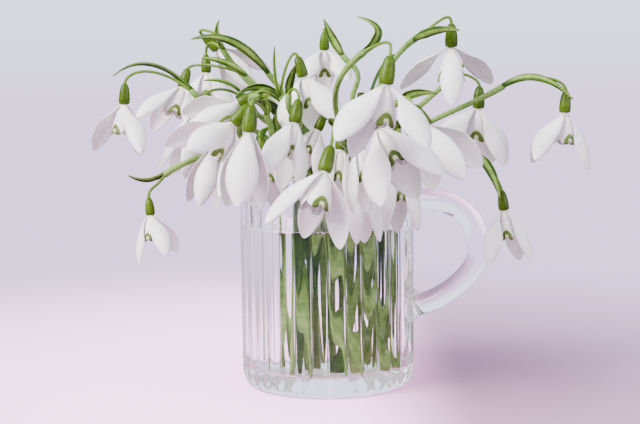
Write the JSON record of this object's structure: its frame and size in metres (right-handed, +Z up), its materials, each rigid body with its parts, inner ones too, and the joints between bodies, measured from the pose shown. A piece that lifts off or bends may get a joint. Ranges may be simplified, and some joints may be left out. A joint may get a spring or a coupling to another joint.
{
  "type": "snowdrop bouquet in a glass mug",
  "caption": "Bunch of snowdrops with nodding white flowers and green leaves, standing in water in a ribbed clear glass mug with a round handle.",
  "frame": {"origin": "centre of the mug's flat underside, on the surface that it stands on", "axes": "+Z up along the mug's axis; -Y towards the viewer, where most of the flowers hang; the handle points to +X and a little to -Y"},
  "size_m": [0.1846, 0.1386, 0.1386],
  "materials": {
    "glass": "clear, ribbed",
    "water": "clear water",
    "tepal": "waxy white petal, green marks on the inner cup",
    "stalk": "smooth living stem",
    "leaf": "matt leaf with a bloom"
  },
  "bodies": {
    "root": {"mug": "glass", "water": "water", "tepals_01": "tepal", "stalk_01": "stalk", "tepals_02": "tepal", "stalk_02": "stalk", "tepals_03": "tepal", "stalk_03": "stalk", "tepals_04": "tepal", "stalk_04": "stalk", "tepals_05": "tepal", "stalk_05": "stalk", "tepals_06": "tepal", "stalk_06": "stalk", "tepals_07": "tepal", "stalk_07": "stalk", "tepals_08": "tepal", "stalk_08": "stalk", "tepals_09": "tepal", "stalk_09": "stalk", "tepals_10": "tepal", "stalk_10": "stalk", "tepals_11": "tepal", "stalk_11": "stalk", "tepals_12": "tepal", "stalk_12": "stalk", "tepals_13": "tepal", "stalk_13": "stalk", "tepals_14": "tepal", "stalk_14": "stalk", "tepals_15": "tepal", "stalk_15": "stalk", "tepals_16": "tepal", "stalk_16": "stalk", "tepals_17": "tepal", "stalk_17": "stalk", "tepals_18": "tepal", "stalk_18": "stalk", "tepals_19": "tepal", "stalk_19": "stalk", "tepals_20": "tepal", "stalk_20": "stalk", "tepals_21": "tepal", "stalk_21": "stalk", "tepals_22": "tepal", "stalk_22": "stalk", "tepals_23": "tepal", "stalk_23": "stalk", "tepals_24": "tepal", "stalk_24": "stalk", "tepals_25": "tepal", "stalk_25": "stalk", "tepals_26": "tepal", "stalk_26": "stalk", "tepals_27": "tepal", "stalk_27": "stalk", "leaf_01": "leaf", "leaf_02": "leaf", "leaf_03": "leaf", "leaf_04": "leaf"}
  },
  "joints": []
}
